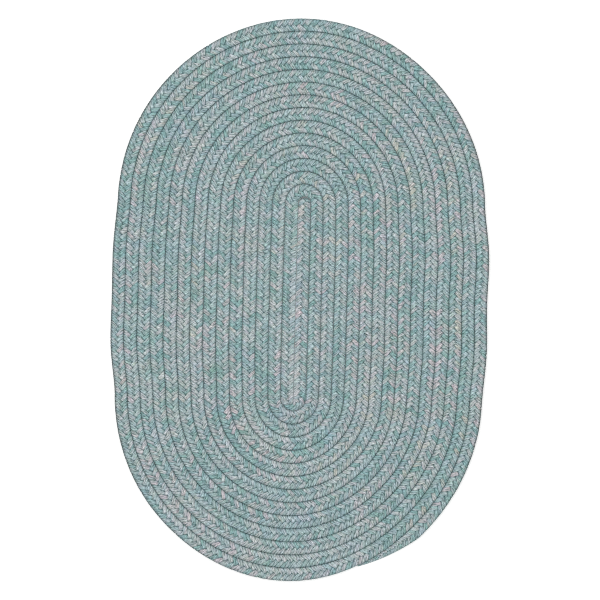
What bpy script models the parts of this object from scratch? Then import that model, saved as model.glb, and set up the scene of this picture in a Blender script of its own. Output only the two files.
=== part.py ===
"""Oval braided rug, 0.61 x 0.91 m: one flat braid coiled on itself, edge to edge.

The braid starts at the top of the middle strip, runs down it, turns tightly to the
left and then winds clockwise, seen from above, each turn sewn to the turn inside it.
Outside the middle strip there are fourteen turns, and the last one tapers away along
the lower right of the rug. The whole coil is one solid, with the same relief on both
faces, because such a rug is laid either way up.
"""
import math

import bpy

# Driving dimensions, in metres.
END_SPACING = 0.317         # between the centres that the two round ends are coiled on
TURNS = 14
THICKNESS = 0.011
SEAM_GAP = 0.0004           # between the edges of neighbouring turns
SECTION_WIDTH = 0.0204      # the braid's width where it has its full thickness

# Distance from turn to turn in millimetres, where each side of the oval begins and at
# its quarters. Hand sewing pulls the turns tighter in some places than in others.
SIDES = ("left", "top", "right", "bottom")
TURN_PITCH_MM = {
    "left": (20.7, 21.3, 21.3, 21.3),
    "top": (20.9, 20.7, 20.6, 20.0),
    "right": (20.2, 20.8, 20.7, 20.8),
    "bottom": (20.4, 20.3, 21.2, 20.8),
}
LEFT, TOP, RIGHT, BOTTOM = range(4)

# The braid's section: flat on both faces, with edges that round off into the seams.
FLAT_SHARE = 0.60           # of the width
EDGE_SHARE = 0.40           # of the thickness, upright at the seam

# The tight first turn squashes the braid, and both of its ends are worked narrower.
FIRST_TURN_SQUASH = 0.08    # of the width
BLUNT_END = ((0.45, 0.50), (0.30, 0.85))    # (pitches above the end centre, width)
TAIL_STARTS = 0.26          # share of the bottom half turn
TAIL_ENDS = 0.38
TAIL_TIP = 0.08             # width left at the tip
TAIL_STEPS = 5

STEPS = (                   # (turns inside this one, steps round an end, steps along a side)
    (2, 6, 3),
    (6, 12, 3),
    (TURNS + 1, 24, 6),
)

YARN_COLOUR = (0.275, 0.350, 0.358)     # linear mean of the grey, teal and pale yarns


def turn_pitch(side, share):
    """Pitch at a share of one side: a smooth curve through the table, closed on itself."""
    table = [mm / 1000 for name in SIDES for mm in TURN_PITCH_MM[name]]
    place = (side + share) * len(table) / len(SIDES)
    first = math.floor(place)
    part = place - first
    before, start, end, after = (table[(first + n) % len(table)] for n in (-1, 0, 1, 2))
    bend = 2 * before - 5 * start + 4 * end - after
    twist = 3 * (start - end) + after - before
    return start + part * ((end - before) + part * (bend + part * twist)) / 2


def coil_point(turn, side, share, outward=0.0):
    """A point of the braid's middle line, moved outward by so many metres.

    The top half turns are centred on the line of the middle strip, and the bottom ones
    half a pitch to its left, which is how each turn becomes the next one.
    """
    pitch = turn_pitch(side, share)
    half = END_SPACING / 2
    centre_x, radius, angle = 0.0, turn * pitch, 0.0
    centre_y = half
    if side == LEFT:
        centre_y, angle = half * (2 * share - 1), math.pi
    elif side == TOP:
        angle = math.pi * (1 - share)
    elif side == RIGHT:
        centre_y = half * (1 - 2 * share)
    else:
        centre_x, centre_y = -pitch / 2, -half
        radius, angle = (turn + 0.5) * pitch, -math.pi * share
    radius += outward
    return centre_x + radius * math.cos(angle), centre_y + radius * math.sin(angle)


def steps_along(turn, side):
    """Steps along a side or end. Each count divides the next, so seams stay parallel."""
    round_end, straight = next(steps for turns, *steps in STEPS if turn < turns)
    return round_end if side in (TOP, BOTTOM) else straight


def station(turn, side, share, fullness=1.0, keep_to=0):
    """(x, y, width) of the braid; a narrowed one keeps to its outer (1) or inner (-1) seam."""
    width = turn_pitch(side, share) - SEAM_GAP
    slack = (1 - fullness) * width / 2
    return *coil_point(turn, side, share, keep_to * slack), fullness * width


def side_stations(turn, side):
    """Stations along one side of a turn, without the next side's first one."""
    steps = steps_along(turn, side)
    squash = FIRST_TURN_SQUASH if (turn, side) == (0, BOTTOM) else 0.0
    for step in range(steps):
        share = step / steps
        yield station(turn, side, share, 1 - squash * math.sin(math.pi * share), 1)


def blunt_end_stations():
    """The start of the braid, rounded off inside the first turn over the top."""
    for pitches, fullness in BLUNT_END:
        x, y, width = station(0, RIGHT, 0.0, fullness)
        yield x, y + pitches * turn_pitch(RIGHT, 0.0), width


def tail_stations():
    """The last part of the outermost turn, which narrows against the turn inside it."""
    steps = steps_along(TURNS, BOTTOM)
    for step in range(math.ceil(TAIL_STARTS * steps)):
        yield station(TURNS, BOTTOM, step / steps)
    for step in range(TAIL_STEPS + 1):
        part = step / TAIL_STEPS
        share = TAIL_STARTS + (TAIL_ENDS - TAIL_STARTS) * part
        yield station(TURNS, BOTTOM, share, 1 - (1 - TAIL_TIP) * part, -1)


def braid_stations():
    """Stations along the whole braid, from its blunt start to the tip of its tail."""
    stations = [*blunt_end_stations(), *side_stations(0, RIGHT), *side_stations(0, BOTTOM)]
    for turn in range(1, TURNS + 1):
        for side in (LEFT, TOP, RIGHT):
            stations += side_stations(turn, side)
        stations += side_stations(turn, BOTTOM) if turn < TURNS else tail_stations()
    return stations


def rug_middle():
    """The middle of the rug's outer edge, which becomes the origin."""
    edge = []
    for turn, side in ((TURNS - 1, BOTTOM), (TURNS, LEFT), (TURNS, TOP), (TURNS, RIGHT)):
        for x, y, width in side_stations(turn, side):
            edge += [(x - width / 2, y - width / 2), (x + width / 2, y + width / 2)]
    xs, ys = zip(*edge)
    return (min(xs) + max(xs)) / 2, (min(ys) + max(ys)) / 2


def new_collection(name):
    made = bpy.data.collections.new(name)
    bpy.context.scene.collection.children.link(made)
    return made


def straight_steps_curve(name, points, closed):
    """A curve object of straight steps through the points."""
    curve = bpy.data.curves.new(name, "CURVE")
    curve.dimensions = "3D"
    curve.render_resolution_u = 0
    spline = curve.splines.new("POLY")
    spline.points.add(len(points) - 1)
    spline.points.foreach_set("co", [value for point in points for value in (*point, 1.0)])
    spline.use_cyclic_u = closed
    return bpy.data.objects.new(name, curve)


def braid_section():
    """The braid's section, standing on its lower face: the guide that the coil follows."""
    flat = FLAT_SHARE * SECTION_WIDTH / 2
    edge = SECTION_WIDTH / 2
    low = THICKNESS * (1 - EDGE_SHARE) / 2
    left = [(-flat, 0.0), (-edge, low), (-edge, THICKNESS - low), (-flat, THICKNESS)]
    right = [(-x, y) for x, y in reversed(left)]
    return straight_steps_curve("braid_section", [(x, y, 0.0) for x, y in left + right], True)


def coiled_braid(section):
    """The coil itself: the section carried along the braid, drawn to each turn's width."""
    middle_x, middle_y = rug_middle()
    stations = braid_stations()
    points = [(x - middle_x, y - middle_y, 0.0) for x, y, _ in stations]
    rug = straight_steps_curve("coiled_braid", points, False)
    widths = [width / SECTION_WIDTH for _, _, width in stations]
    rug.data.splines[0].points.foreach_set("radius", widths)
    rug.data.twist_mode = "Z_UP"
    rug.data.bevel_mode = "OBJECT"
    rug.data.bevel_object = section
    rug.data.use_fill_caps = True
    return rug


def spun_yarn():
    """Matt spun yarn in the mean colour of the mixed strands."""
    material = bpy.data.materials.new("spun_yarn")
    material.use_nodes = True
    shader = material.node_tree.nodes["Principled BSDF"]
    shader.inputs["Base Color"].default_value = (*YARN_COLOUR, 1.0)
    shader.inputs["Roughness"].default_value = 0.95
    shader.inputs["Metallic"].default_value = 0.0
    return material


def main():
    for thing in list(bpy.data.objects):
        bpy.data.objects.remove(thing)
    section = braid_section()
    section.hide_render = True
    section.display_type = "WIRE"
    new_collection("guides").objects.link(section)
    rug = coiled_braid(section)
    rug.data.materials.append(spun_yarn())
    new_collection("braided_rug").objects.link(rug)


main()
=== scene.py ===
import math

import bpy
import numpy as np
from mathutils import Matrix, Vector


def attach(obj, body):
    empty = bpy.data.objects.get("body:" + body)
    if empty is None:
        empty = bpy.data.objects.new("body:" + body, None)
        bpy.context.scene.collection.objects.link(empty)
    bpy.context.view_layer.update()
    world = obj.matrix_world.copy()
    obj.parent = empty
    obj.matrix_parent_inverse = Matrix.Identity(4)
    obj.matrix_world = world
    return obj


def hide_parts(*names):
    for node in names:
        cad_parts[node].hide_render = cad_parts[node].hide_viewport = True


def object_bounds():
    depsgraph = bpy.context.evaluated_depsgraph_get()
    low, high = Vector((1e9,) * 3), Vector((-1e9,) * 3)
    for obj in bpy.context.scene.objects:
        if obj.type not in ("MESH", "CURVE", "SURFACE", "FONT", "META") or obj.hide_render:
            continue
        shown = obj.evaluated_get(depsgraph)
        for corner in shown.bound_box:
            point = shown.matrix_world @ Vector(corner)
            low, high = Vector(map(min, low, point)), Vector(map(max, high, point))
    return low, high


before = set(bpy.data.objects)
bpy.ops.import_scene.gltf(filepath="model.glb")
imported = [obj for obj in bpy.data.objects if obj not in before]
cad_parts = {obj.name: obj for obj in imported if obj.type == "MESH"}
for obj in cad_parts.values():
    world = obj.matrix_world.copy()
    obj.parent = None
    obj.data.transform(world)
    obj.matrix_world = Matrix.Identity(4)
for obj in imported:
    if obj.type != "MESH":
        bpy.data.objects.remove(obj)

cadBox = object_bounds()

# One long braid is coiled in an oval, as in the solid, and these are its driving sizes in metres.
# Only the seams and the blunt start lie closer here, since the turns of a real braid touch.
coil = {
    "endSpacing": 0.317,      # between the centres of the two round ends
    "turns": 14,              # outside the middle strip
    "seamGap": 0.0001,        # left between the edges of two turns
    "thickness": 0.011,
    "typicalPitch": 0.0207,   # from turn to turn
    "pitchMm": (              # the same at the start and the quarters of each side
        20.7, 21.3, 21.3, 21.3,     # left
        20.9, 20.7, 20.6, 20.0,     # top
        20.2, 20.8, 20.7, 20.8,     # right
        20.4, 20.3, 21.2, 20.8,     # bottom
    ),
    "firstSquash": 0.08,      # how much narrower the braid is round the first tight turn
    "bluntRise": 0.495,       # pitches that the blunt start reaches above the end centre
    "bluntTip": 1.02,         # that end is an ellipse this many rises long, cut off flat
    "bluntPoints": 12,
    "tailStart": 0.26,        # share of the last bottom half turn, full width up to here
    "tailEnd": 0.38,          # and its tip here
    "tailTip": 0.08,          # share of the width left at the tip
    "pointSpacing": 0.001,    # along the braid
    "fewestPoints": 24,       # on one side
}
leftSide, topSide, rightSide, bottomSide = range(4)
startSide = rightSide         # of turn 0: the braid starts down the middle of the rug


def turnPitch(tau):           # smooth closed curve through the pitch table; tau counts sides
    table = np.array(coil["pitchMm"]) / 1000
    place = np.asarray(tau) * len(table) / 4
    first = np.floor(place).astype(int)
    part = place - first
    before, start, end, after = (table[(first + n) % len(table)] for n in (-1, 0, 1, 2))
    bend = 2 * before - 5 * start + 4 * end - after
    twist = 3 * (start - end) + after - before
    return start + part * ((end - before) + part * (bend + part * twist)) / 2


def coilPoints(turn, side, share):
    # The middle line: straight sides and half turns. Radius is turn times pitch, and the
    # bottom half turns are centred half a pitch to the left, so each turn meets the next.
    pitch = turnPitch(side + share)
    half = coil["endSpacing"] / 2
    zero = 0 * share
    centreX = -pitch / 2 if side == bottomSide else zero
    centreY = (half * (2 * share - 1), zero + half, half * (1 - 2 * share), zero - half)[side]
    angle = (zero + math.pi, math.pi * (1 - share), zero, -math.pi * share)[side]
    radius = (turn + (0.5 if side == bottomSide else 0.0)) * pitch
    return np.stack([centreX + radius * np.cos(angle), centreY + radius * np.sin(angle), pitch], 1)


def coilLine():
    # Points along the whole braid: x, y, pitch, share of the full width, the seam that a narrow
    # part keeps to (1 outer, -1 inner), and the laps, which are the turns and part turns so far.
    rows = []
    rise = np.linspace(coil["bluntRise"], 0, coil["bluntPoints"], endpoint=False)
    start = coilPoints(0, startSide, 0 * rise)
    start[:, 1] += rise * start[:, 2]
    full = np.sqrt(1 - (rise / (coil["bluntRise"] * coil["bluntTip"])) ** 2)
    rows.append(np.column_stack([start, full, 0 * rise, 0 * rise + startSide / 4]))
    for turn in range(coil["turns"] + 1):
        for side in (leftSide, topSide, rightSide, bottomSide):
            if turn == 0 and side < startSide:
                continue
            last = turn == coil["turns"] and side == bottomSide
            straight = side in (leftSide, rightSide)
            reach = coil["tailEnd"] if last else 1.0
            bend = math.pi * (turn + 0.5) * coil["typicalPitch"]
            span = coil["endSpacing"] if straight else bend
            steps = max(int(span * reach / coil["pointSpacing"]), coil["fewestPoints"])
            share = np.linspace(0, reach, steps, endpoint=False)
            points = coilPoints(turn, side, share)
            full, keep = np.ones(steps), 0 * share
            if turn == 0 and side == bottomSide:
                full, keep = 1 - coil["firstSquash"] * np.sin(math.pi * share), keep + 1
            if last:
                gone = np.clip((share - coil["tailStart"]) / (coil["tailEnd"] - coil["tailStart"]), 0, 1)
                full, keep = 1 - (1 - coil["tailTip"]) * gone, keep - 1
            rows.append(np.column_stack([points, full, keep, turn + (side + share) / 4]))
    return np.concatenate(rows)


def smoothed(values, span):   # running Gaussian mean along the braid, with this span either way
    width = round(span / coil["pointSpacing"])
    reach = 3 * width
    kernel = np.exp(-0.5 * (np.arange(-reach, reach + 1) / width) ** 2)
    padded = np.pad(values, (reach, reach), mode="edge")
    return np.convolve(padded, kernel / kernel.sum(), mode="valid")


lineX, lineY, linePitch, lineFull, lineKeep, lineLaps = coilLine().T
boxMiddle = (cadBox[0] + cadBox[1]) / 2
halfWidth = (linePitch - coil["seamGap"]) / 2
travelX, travelY = np.gradient(lineX), np.gradient(lineY)
travelSize = np.hypot(travelX, travelY)
outwardX, outwardY = -travelY / travelSize, travelX / travelSize      # left of the braid's way
slack = (1 - lineFull) * halfWidth * lineKeep
lineX = lineX + outwardX * slack
lineY = lineY + outwardY * slack
edgeX = lineX + outwardX * halfWidth * lineFull
edgeY = lineY + outwardY * halfWidth * lineFull
lineX += boxMiddle.x - (edgeX.min() + edgeX.max()) / 2
lineY += boxMiddle.y - (edgeY.min() + edgeY.max()) / 2
along = np.concatenate([[0], np.cumsum(np.hypot(np.diff(lineX), np.diff(lineY)))])
braidLength = along[-1]
print(f"coil: braid {braidLength:.2f} m long, {coil['turns']} turns")

# The braid is a flattened tube. Its top shows two halves of slanted stitches that meet in a
# zigzag, and each stitch is a strand of two yarn ends.
braid = {
    "stitchPitch": 0.0090,    # along the braid
    "pitchDrift": 0.045,      # share that the stitches loosen and tighten by
    "driftSpan": 0.180,       # over about this length
    "kinkSpan": 0.003,        # kinks in the line as short as this are smoothed out
    "tailStitch": 0.45,       # share of its length that a stitch keeps as the braid narrows away
    "slant": (29.0, 33.0),    # degrees from square across: outer half, inner half
    "slantDrift": 0.12,       # share that single stitches lean more or less
    "nudge": 0.0009,          # how far single stitches slip along the braid
    "leanFrom": 0.3,          # share across by which a stitch is free to lean and slip
    "straightEnds": 0.02,     # length at each end over which the stitches come square
    "crown": 2.8,             # power of the superellipse section: 2 is an ellipse
    "pressed": 0.96,          # share of the full section's width that is left at the flat sides
    "fullHalf": 0.0100,       # a half this wide or more has its full thickness and depths
    "leastFull": 0.05,        # share of them that is left where it is narrowest
    "zigzag": 0.0020,         # how far a stitch's inner end reaches over the middle
    "zigzagFade": 0.56,       # share across at which the zigzag has died out
    "zigzagOpen": (0.50, 0.38, 0.12, 0.28),     # parts that make up how far it opens, see below
    "middleDepth": 0.0024,    # groove along the zigzag
    "stitchDepth": (0.0026, 0.0022),            # groove between two stitches: outer, inner half
    "tightness": (0.5, 1.0),  # share of that depth, from the shallowest groove to the deepest
    "splitDepth": 0.0013,     # groove between the two yarn ends of a stitch
    "splitShare": (0.25, 1.0),                  # of that depth, shallowest to deepest
    "parting": ((0.68, 0.15), (0.45, 0.28)),    # where across they part: mean and spread
    "partingReach": 0.32,     # share across that the split spreads to each side of it
    "foldedLaps": (0.50, 1.255),                # the first fold is tight in these, with no groove
    "foldedFade": 0.01,       # laps over which that sets in
    "foldedRise": 0.80,       # height kept at that seam, as a share of the half thickness
    "seamShare": (0.5, 0.9),  # where across the fold starts to press, and presses fully
    "unevenness": 0.00035,    # how much a stitch stands proud or lies low
    "mostUneven": 1.5,        # times that, at most
    "wayRound": 1.25,         # width that a turn has round its crowned top, in pitches
    "pieces": 5,              # lengths that the mesh is cut into
    "seed": 11,
}
# Depth across a stitch, from its leading groove, in samples along the braid.
stitchGroove = np.array([1.0, 0.32, 0.04, 0.0, 0.0, 0.0, 0.04, 0.32])
splitGroove = np.array([0.0, 0.0, 0.0, 0.20, 1.0, 0.20, 0.0, 0.0])
samples = len(stitchGroove)
# Columns from the top middle over the edge to the under middle, as shares of the half width,
# and how deep the grooves are in each: deepest at a stitch's two ends, closed at the seam,
# where neighbouring turns press flat against each other.
acrossTop = np.array([0.0, 0.14, 0.34, 0.56, 0.76, 0.90, 1.0])
acrossUnder = np.array([1.0, 0.82, 0.42, 0.0])
depthTop = np.array([0.0, 0.90, 0.55, 0.55, 0.65, 0.75, 0.15])
depthUnder = np.array([0.1, 0.4, 0.5, 0.0])

# How far the zigzag opens in each sample, from where its line lies furthest out. A steady part,
# more at both of its bends, where a stitch's tip meets the groove of two others, a little less
# at the outer bend, and most on the side where the strand dives under.
steady, atBends, lessOuter, atDive = braid["zigzagOpen"]
turning = 2 * math.pi * np.arange(samples) / samples
zigzagOpen = steady + atBends * np.cos(turning) ** 2
zigzagOpen -= lessOuter * np.cos(turning) + atDive * np.sin(turning)

dice = np.random.default_rng(braid["seed"])
spacing = coil["pointSpacing"]
even = np.arange(0, braidLength, spacing)              # the line again, at even steps


def evenly(values):
    return smoothed(np.interp(even, along, values), braid["kinkSpan"])


pathX, pathY, pathOutX, pathOutY = (evenly(v) for v in (lineX, lineY, outwardX, outwardY))
pathHalf = evenly(halfWidth * lineFull)
pathFull = evenly(lineFull)
pathLaps = evenly(lineLaps)
margin = 600                                           # past the reach of the running mean
noise = dice.normal(size=len(even) + 2 * margin)
drift = smoothed(noise, braid["driftSpan"])[margin:-margin]
stitchLength = braid["stitchPitch"] * (1 + braid["pitchDrift"] * drift / drift.std())
stitchLength *= braid["tailStitch"] + (1 - braid["tailStitch"]) * pathFull
stitchCount = np.concatenate([[0], np.cumsum(spacing / stitchLength)])[:-1]
wholeStitches = int(stitchCount[-1])
stationCount = wholeStitches * samples + 1
station = np.arange(stationCount)
stationAlong = np.interp(station / samples, stitchCount, even)
stationLaps = np.interp(stationAlong, even, pathLaps)
foldStart, foldEnd = braid["foldedLaps"]
folded = np.minimum(stationLaps - foldStart, foldEnd - stationLaps) / braid["foldedFade"]
folded = np.clip(folded, 0, 1)

across = np.concatenate([acrossTop, acrossUnder])
grooveDepth = np.concatenate([depthTop, depthUnder])
upper = np.arange(len(across)) < len(acrossTop)
power = braid["crown"]
wide = across * braid["pressed"]
rise = (1 - wide ** power) ** (1 / power) * np.where(upper, 1, -1)
normalAcross = wide ** (power - 1)
normalUp = np.abs(rise) ** (power - 1) * np.sign(rise)
normalSize = np.hypot(normalAcross, normalUp)
normalAcross, normalUp = normalAcross / normalSize, normalUp / normalSize
pressFrom, pressFull = braid["seamShare"]
nearSeam = np.clip((across - pressFrom) / (pressFull - pressFrom), 0, 1) * upper


def halfTube(side):
    # side 1 is the half away from the rug's middle, -1 the half towards it. Along each
    # column the surface is a superellipse, lowered along its normal by the grooves.
    # The inner half's stitches start half a stitch later.
    inner = int(side < 0)                              # which of a pair of values it takes
    phase = station + inner * samples // 2
    sample, stitch = phase % samples, phase // samples
    nearest = (phase + samples // 2) // samples        # the groove that a sample lies by
    count = wholeStitches + 3                          # with a few to spare past the last
    proud = np.clip(dice.normal(size=count), -braid["mostUneven"], braid["mostUneven"])
    proud = proud[stitch] * braid["unevenness"]
    tight = dice.uniform(*braid["tightness"], count)[nearest] * stitchGroove[sample]
    parting = dice.normal(*braid["parting"][inner], count)[stitch][:, None]
    split = (dice.uniform(*braid["splitShare"], count)[stitch] * splitGroove[sample])[:, None]
    split = split * np.exp(-((across - parting) / braid["partingReach"]) ** 2)
    places = np.arange(count) * samples
    leanMore = np.interp(phase, places, dice.normal(size=count)) * braid["slantDrift"]
    slip = np.interp(phase, places, dice.normal(size=count)) * braid["nudge"]

    # Where along the braid each point lies: a straight slant on top, and underneath the way
    # back to where the other half's slant ends, so that the two halves join.
    half = np.interp(stationAlong, even, pathHalf)
    fromEnd = np.minimum(stationAlong, stationAlong[-1] - stationAlong)
    nearEnd = np.clip(fromEnd / braid["straightEnds"], 0, 1)
    slopes = [math.tan(math.radians(degrees)) for degrees in braid["slant"]]
    slope = slopes[inner]
    leanShare = np.where(upper, slope * across, slope + (sum(slopes) - slope) * (1 - across))
    free = np.where(upper, np.minimum(across / braid["leanFrom"], 1), across)
    where = stationAlong[:, None] + (half * nearEnd)[:, None] * leanShare
    where += nearEnd[:, None] * (slip[:, None] + (half * slope * leanMore)[:, None] * across) * free
    halfAt = np.interp(where, even, pathHalf)
    fullAt = np.clip(halfAt / braid["fullHalf"], braid["leastFull"], 1.0)

    # Depth below the smooth tube: stitch and split grooves, less what stands proud, and the
    # zigzag's groove along the top and under middles.
    depth = braid["stitchDepth"][inner] * tight[:, None] * grooveDepth
    depth += braid["splitDepth"] * split
    depth -= (proud * (1 - stitchGroove[sample]))[:, None] * grooveDepth * upper
    depth += braid["middleDepth"] * np.outer(zigzagOpen[station % samples], across == 0)
    depth *= fullAt
    toothed = braid["zigzag"] * np.cos(2 * math.pi * station / samples)[:, None] * fullAt
    toothed = toothed * np.clip(1 - across / braid["zigzagFade"], 0, 1)
    x = side * (across * halfAt - normalAcross * depth) + toothed
    halfThick = coil["thickness"] / 2 * fullAt
    filled = np.outer(inner * folded, nearSeam)
    z = halfThick + (rise + filled * (braid["foldedRise"] - rise)) * halfThick - normalUp * depth
    outX, outY = np.interp(where, even, pathOutX), np.interp(where, even, pathOutY)
    size = np.hypot(outX, outY)
    points = np.stack([np.interp(where, even, pathX) + outX / size * x,
                       np.interp(where, even, pathY) + outY / size * x,
                       np.maximum(z, 0)], 2)
    return points, sample, stitch, tight, split


# The colours of the heathered spun yarns, in sRGB, and how they are spread and shaded.
yarns = {
    "palette": (              # each with its share
        ("#AEB5B7", 0.30),    # light grey
        ("#9FB2B4", 0.30),    # aqua grey
        ("#85A5A4", 0.23),    # teal
        ("#8FA5A9", 0.09),    # slate blue
        ("#B7B2B6", 0.06),    # pinkish grey
        ("#B4B6B0", 0.02),    # cream
    ),
    "paintedShadeColour": "#3A5D5F",  # painted shade in the grooves and seams, where little light reaches
    "strands": 3,             # strands that show in turn in each half
    "strandHold": 0.76,       # chance that a strand keeps its colour from one stitch to its next
    "matted": 0.32,           # share of stitches that match those across their inner seam
    "mattedRun": 12,          # stitches in a row that do
    "mattedFrom": 1.5,        # laps from which they do
    "speckle": 0.60,          # most that a yarn end takes of a second colour
    "toneDrift": 0.03,        # share that a yarn end is lighter or darker
    "bunches": (              # dyed fibres lie bunched: patch size, and what it adds to r, g, b
        (0.0025, (0.020, 0.000, 0.036)),
        (0.006, (0.012, 0.000, 0.018)),
        (0.020, (-0.015, 0.000, 0.018)),
    ),
    "halfShadeTone": (0.96, 1.0),  # painted shade: outer half, stretched so that it shows more shade, and inner half
    "rimShadeColour": "#454949",   # painted shade on the rug's outer edge, where its side wall turns down from the light
    "rimShade": (0.68, 0.24),           # along the rug's sides, and at the middle of its two ends
    "rimBlend": 4,            # power of the edge's direction that blends from one to the other
    "rimFade": (0.02, 0.08),  # laps over which it sets in, and over which it ends at the tail
    "bluntShade": 0.75,       # the blunt start is tucked down out of the light
    "bluntReach": 0.0035,     # length over which that fades
    "foldedTone": (1.09, 1.01, 1.01),   # the tight first fold shows warmer fibres
    "foldedShade": 0.35,      # share of the seam's shade that it hides
    "grooveShade": 0.80,      # share of painted shade between stitches
    "splitShade": 0.90,       # between the yarn ends of one
    "middleShade": 0.90,      # along the zigzag
    "innerShiftMm": 40,       # keeps the inner half's fibres from mirroring the outer half's
    "streaksPerMm": (0.22, 1.00),       # fibres, round the tube as the strands run, and along it
}
# How much painted shade shows in each column by itself, most along the seam and below it,
# how strongly the painted shade of the grooves shows there, and that of the rim.
columnShade = np.array([0.0, 0.12, 0.02, 0.0, 0.05, 0.20, 0.52, 0.5, 0.3, 0.2, 0.2])
grooveShadeAt = np.array([0.0, 0.9, 0.55, 0.55, 0.65, 0.85, 0.6, 0.6, 0.5, 0.5, 0.0])
rimColumn = np.array([0.0, 0.0, 0.0, 0.06, 0.45, 1.0, 1.0, 1.0, 0.6, 0.0, 0.0])


def linear(hexColour):        # sRGB hex to linear light
    srgb = np.array([int(hexColour[i:i + 2], 16) for i in (1, 3, 5)]) / 255
    return np.where(srgb <= 0.04045, srgb / 12.92, ((srgb + 0.055) / 1.055) ** 2.4)


def towards(colour, hexColour, share):
    return colour * (1 - share) + linear(hexColour) * share


def bunched(x, y, size):      # a smooth random field of the place, in patches of one size
    column, row = (x - x.min()) / size, (y - y.min()) / size
    table = dice.normal(size=(int(column.max()) + 2, int(row.max()) + 2))
    i, j = column.astype(int), row.astype(int)
    part, rest = (3 * f ** 2 - 2 * f ** 3 for f in (column - i, row - j))
    low = table[i, j] * (1 - part) + table[i + 1, j] * part
    high = table[i, j + 1] * (1 - part) + table[i + 1, j + 1] * part
    return low * (1 - rest) + high * rest


def yarnEnds():
    # Each strand keeps its colour for a few of its stitches, then changes. The two yarn ends
    # of a stitch differ a little.
    names, shares = zip(*yarns["palette"])
    palette = np.array([linear(name) for name in names])
    shares = np.array(shares) / sum(shares)
    rounds = wholeStitches // yarns["strands"] + 2
    size = (rounds, yarns["strands"])
    changes = np.where(dice.random(size) > yarns["strandHold"], np.arange(rounds)[:, None], 0)
    held = np.maximum.accumulate(changes, axis=0)      # the round in which each colour began
    picks = np.take_along_axis(dice.choice(len(names), size=size, p=shares), held, axis=0).ravel()
    other = palette[dice.choice(len(names), size=(len(picks), 2), p=shares)]
    speckle = yarns["speckle"] * dice.random((len(picks), 2, 1))
    lighter = np.exp(dice.normal(size=(len(picks), 2, 1)) * yarns["toneDrift"])
    return (palette[picks][:, None] * (1 - speckle) + other * speckle) * lighter


def stitchColours(ends, fold, sample, stitch, tight, split):
    # A stitch's colour runs from one yarn end to the next, and its grooves and the seams are
    # mixed towards the painted shade colour.
    first, second, before = ends[stitch, 0], ends[stitch, 1], ends[np.maximum(stitch - 1, 0), 1]
    parted = samples / 2                               # the sample that its two ends part at
    share = np.interp(sample, [0, 1, parted - 1, parted, parted + 1], [0.5, 0, 0, 0.5, 1])
    leading = (sample == 0)[:, None]
    blendFrom = np.where(leading, before, first)
    blendTo = np.where(leading, first, second)
    colour = blendFrom + (blendTo - blendFrom) * share[:, None]
    filled = np.outer(fold, nearSeam)
    shade = yarns["grooveShade"] * tight[:, None] * grooveShadeAt + yarns["splitShade"] * split
    shade = np.clip(shade + columnShade * (1 - yarns["foldedShade"] * filled), 0, 1)[..., None]
    colour = colour[:, None] * (1 + fold[:, None, None] * (np.array(yarns["foldedTone"]) - 1))
    return towards(colour, yarns["paintedShadeColour"], shade)


outerPoints, *outerWeave = halfTube(1)
innerPoints, *innerWeave = halfTube(-1)
outerEnds, innerEnds = yarnEnds(), yarnEnds()
# Turns that are sewn together mat: runs of stitches take the colours of those across the seam.
stitchLaps = stationLaps[::samples]
facing = np.interp(stitchLaps - 1, stationLaps, station).astype(int) // samples
runs = np.repeat(dice.random(len(stitchLaps)), yarns["mattedRun"])[:len(stitchLaps)]
matted = np.flatnonzero((runs < yarns["matted"]) & (stitchLaps > yarns["mattedFrom"]))
innerEnds[matted] = outerEnds[facing[matted]]
# The outer half is darkened a little as painted shade.
outerShadeTone, innerShadeTone = yarns["halfShadeTone"]
outerColour = stitchColours(outerEnds * outerShadeTone, 0 * folded, *outerWeave)
innerColour = stitchColours(innerEnds * innerShadeTone, folded, *innerWeave)
# The last turn is the rug's rim, with painted shade along its outer edge.
lapsLeft = stationLaps[-1] - stationLaps
fadeIn, fadeOut = yarns["rimFade"]
rimShadeShare = np.clip(np.minimum((1 - lapsLeft) / fadeIn, lapsLeft / fadeOut), 0, 1)
atEnds = np.interp(stationAlong, even, pathOutY) ** yarns["rimBlend"]
sideShade, endShade = yarns["rimShade"]
rimShadeShare *= sideShade * (1 - atEnds) + endShade * atEnds
rim = rimShadeShare[:, None, None] * rimColumn[:, None]
outerColour = towards(outerColour, yarns["rimShadeColour"], rim)
print(f"stitches: {2 * wholeStitches} on each face")

# One ring of the tube: top middle, the outer half, under middle, and the inner half back up.
# The top middle takes its colour from the columns on both sides, with painted shade along the zigzag.
backUp = slice(len(across) - 2, 0, -1)
ring = np.concatenate([outerPoints, innerPoints[:, backUp]], 1)
ringColour = np.concatenate([outerColour, innerColour[:, backUp]], 1)
ringSize = ring.shape[1]
middle = (yarns["middleShade"] * zigzagOpen[station % samples])[:, None]
middleColour = (outerColour[:, 1] + innerColour[:, 1]) / 2
ringColour[:, 0] = towards(middleColour, yarns["paintedShadeColour"], middle)
fromStart = (stationAlong / yarns["bluntReach"])[:, None, None]
blunt = yarns["bluntShade"] * np.clip(1 - fromStart, 0, 1)
ringColour = towards(ringColour, yarns["paintedShadeColour"], blunt)
for size, amount in yarns["bunches"]:
    ringColour *= 1 + bunched(ring[..., 0], ring[..., 1], size)[..., None] * np.array(amount)

# Distances round the tube and along it, in millimetres, for the fibres to follow.
stepAcross = np.diff(across) * (coil["typicalPitch"] - coil["seamGap"]) / 2
stepUp = np.diff(rise) * coil["thickness"] / 2
arcMm = 1000 * np.concatenate([[0], np.cumsum(np.hypot(stepAcross, stepUp))])
ringMm = np.concatenate([arcMm, arcMm[backUp] + yarns["innerShiftMm"]])
fibreMm = np.stack(np.broadcast_arrays(ringMm, 1000 * stationAlong[:, None]), 2)


def addObject(name, data):
    placed = bpy.data.objects.new(name, data)
    bpy.context.scene.collection.objects.link(placed)
    return placed


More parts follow.
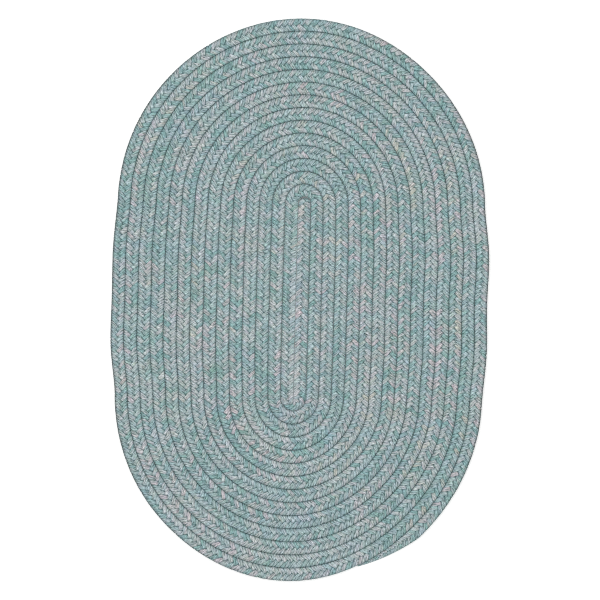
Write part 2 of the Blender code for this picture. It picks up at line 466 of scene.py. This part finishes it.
def braidPiece(name, first, last):
    # The rings from first to last, joined in quads and closed by a fan at each end.
    rows = last - first + 1
    points = ring[first:last + 1].reshape(-1, 3)
    caps = np.array([ring[first].mean(0), ring[last].mean(0)])
    index = np.arange(rows * ringSize).reshape(rows, ringSize)
    nextIndex = np.roll(index, -1, 1)
    quads = np.stack([index[:-1], nextIndex[:-1], nextIndex[1:], index[1:]], -1).reshape(-1, 4)
    startCap, endCap = len(points), len(points) + 1
    startFan = np.stack([nextIndex[0], index[0], np.full(ringSize, startCap)], 1)
    endFan = np.stack([index[-1], nextIndex[-1], np.full(ringSize, endCap)], 1)
    mesh = bpy.data.meshes.new(name)
    points = np.concatenate([points, caps])
    loops = np.concatenate([quads.ravel(), startFan.ravel(), endFan.ravel()])
    sizes = np.concatenate([np.full(len(quads), 4), np.full(2 * ringSize, 3)])
    mesh.vertices.add(len(points))
    mesh.vertices.foreach_set("co", points.astype(np.float32).ravel())
    mesh.loops.add(len(loops))
    mesh.loops.foreach_set("vertex_index", loops.astype(np.int32))
    mesh.polygons.add(len(sizes))
    mesh.polygons.foreach_set("loop_start", (np.cumsum(sizes) - sizes).astype(np.int32))
    mesh.polygons.foreach_set("loop_total", sizes.astype(np.int32))
    mesh.update(calc_edges=True)
    mesh.validate()
    mesh.shade_smooth()

    def eachVertex(values, spare):                     # a row for each vertex, spare for the caps
        block = values[first:last + 1].reshape(rows * ringSize, -1)
        return np.concatenate([block, np.repeat(spare[None], 2, 0)])

    # The yarn colour with its painted shade; the caps take the painted shade colour.
    colour = eachVertex(ringColour, linear(yarns["paintedShadeColour"]))
    opaque = np.column_stack([colour, np.ones(len(colour))])
    layer = mesh.attributes.new("yarnColourAndShade", "FLOAT_COLOR", "POINT")
    layer.data.foreach_set("color", opaque.astype(np.float32).ravel())
    place = eachVertex(fibreMm, np.zeros(2))
    uv = mesh.uv_layers.new(name="fibreMm")
    uv.data.foreach_set("uv", place[loops].astype(np.float32).ravel())
    return addObject(name, mesh)


def addMaterial(name, constants):     # constants for the shader's own sockets
    material = bpy.data.materials.new(name)
    material.use_nodes = True
    shader = material.node_tree.nodes["Principled BSDF"]
    for key, value in constants.items():
        shader.inputs[key].default_value = value
    return material


def addNode(tree, kind, settings=None, inputs=None):      # one node, its settings, its inputs
    node = tree.nodes.new(kind)
    for key, value in (settings or {}).items():
        setattr(node, key, value)
    for key, value in (inputs or {}).items():
        if isinstance(value, bpy.types.NodeSocket):
            tree.links.new(value, node.inputs[key])
        else:
            node.inputs[key].default_value = value
    return node


def spunYarn():
    # Heathered spun wool-blend yarn, braided: dull and fuzzy, with a faint pale sheen of stray
    # fibres and no gloss, and fine streaks along each strand, the light ones painted highlights.
    material = addMaterial("braidedSpunYarn", {
        "Roughness": 0.92, "IOR": 1.46, "Specular IOR Level": 0.2,
        "Sheen Weight": 0.12, "Sheen Roughness": 0.5})
    tree = material.node_tree
    shader = tree.nodes["Principled BSDF"]
    colour = addNode(tree, "ShaderNodeAttribute", {"attribute_name": "yarnColourAndShade"})
    place = addNode(tree, "ShaderNodeUVMap", {"uv_map": "fibreMm"})
    # Fibres are 0.03 mm thick, and are drawn as streaks about 4.5 x 1 mm so that they show.
    stretch = addNode(tree, "ShaderNodeMapping", None, {
        "Vector": place.outputs[0], "Scale": (*yarns["streaksPerMm"], 1)})
    streaks = addNode(tree, "ShaderNodeTexNoise", None, {
        "Vector": stretch.outputs[0], "Scale": 1.0, "Detail": 3.0, "Roughness": 0.6})
    # Light and dark streaks: the light ones are painted highlights on the yarn ends.
    tone = addNode(tree, "ShaderNodeMapRange", None, {
        "Value": streaks.outputs["Fac"],
        "From Min": 0.3, "From Max": 0.7, "To Min": 0.22, "To Max": 1.80})
    streaked = addNode(tree, "ShaderNodeVectorMath", {"operation": "MULTIPLY"}, {
        0: colour.outputs["Color"], 1: tone.outputs[0]})
    bump = addNode(tree, "ShaderNodeBump", None, {
        "Height": streaks.outputs["Fac"], "Strength": 0.5, "Distance": 0.0004})
    tree.links.new(streaked.outputs[0], shader.inputs["Base Color"])
    tree.links.new(bump.outputs[0], shader.inputs["Normal"])
    return material


yarnFinish = spunYarn()
cuts = np.linspace(0, wholeStitches, braid["pieces"] + 1).astype(int) * samples
for number, (first, last) in enumerate(zip(cuts[:-1], cuts[1:]), 1):
    piece = braidPiece(f"braidLength{number}", first, last)
    piece.data.materials.append(yarnFinish)
    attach(piece, "root")
    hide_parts("coiled_braid")

# A pale floor, even soft light from all round and above, and a camera straight above.
studio = {
    "floorColour": "#F6F6F5",
    "floorGlow": 0.20,        # light of its own, which washes out the soft shadow round the rug
    "floorReach": 6.0,        # from the middle to each edge
    "floorDrop": 0.0002,      # below the rug's underside
    "skyStrength": 0.885,
    "softboxSize": 2.4,
    "softboxHeight": 3.2,
    "softboxAside": 0.5,      # to the left and towards the picture's top
    "softboxPower": 36.0,     # in watts
    "cameraHeight": 3.6,
    "frameWidth": 0.972,      # what the picture spans at the rug, as the braid's pitch gives it
    "roll": 1.46,             # degrees that the rug's long axis leans to the right
    "aimX": 0.0003,
    "aimY": -0.0002,
}


def studioFloor():
    # Matt painted board: an even pale sheet with no gloss.
    material = addMaterial("paintedBoard", {
        "Base Color": (*linear(studio["floorColour"]), 1), "Roughness": 0.9,
        "Emission Color": (1, 1, 1, 1), "Emission Strength": studio["floorGlow"]})
    reach, low = studio["floorReach"], cadBox[0].z - studio["floorDrop"]
    corners = [(-reach, -reach, low), (reach, -reach, low), (reach, reach, low), (-reach, reach, low)]
    mesh = bpy.data.meshes.new("studioFloor")
    mesh.from_pydata(corners, [], [(0, 1, 2, 3)])
    mesh.materials.append(material)
    floor = addObject("studioFloor", mesh)


def studioLight():
    world = bpy.data.worlds.new("softSky")
    world.use_nodes = True
    background = world.node_tree.nodes["Background"]
    background.inputs["Strength"].default_value = studio["skyStrength"]
    background.inputs["Color"].default_value = (1, 1, 1, 1)
    bpy.context.scene.world = world
    lamp = bpy.data.lights.new("softbox", "AREA")
    lamp.size = studio["softboxSize"]
    lamp.energy = studio["softboxPower"]
    aside, height = studio["softboxAside"], studio["softboxHeight"]
    tilt = math.atan2(aside, height)                   # it faces the rug
    box = addObject("softbox", lamp)
    box.location = (-aside, aside, height)
    box.rotation_euler = (-tilt, -tilt, 0)


def overheadCamera():
    lens = bpy.data.cameras.new("overhead")
    distance = studio["cameraHeight"] - coil["thickness"]
    lens.lens = lens.sensor_width * distance / studio["frameWidth"]
    camera = addObject("overhead", lens)
    camera.location = (studio["aimX"], studio["aimY"], studio["cameraHeight"])
    camera.rotation_euler = (0, 0, math.radians(studio["roll"]))
    bpy.context.scene.camera = camera


studioFloor()
studioLight()
overheadCamera()
bpy.context.scene.view_settings.view_transform = "Standard"
bpy.context.scene.cycles.filter_width = 1.0            # a crisp picture, as the photo is
bpy.context.scene.cycles.use_denoising = False
print("studio: floor, sky, softbox and camera")
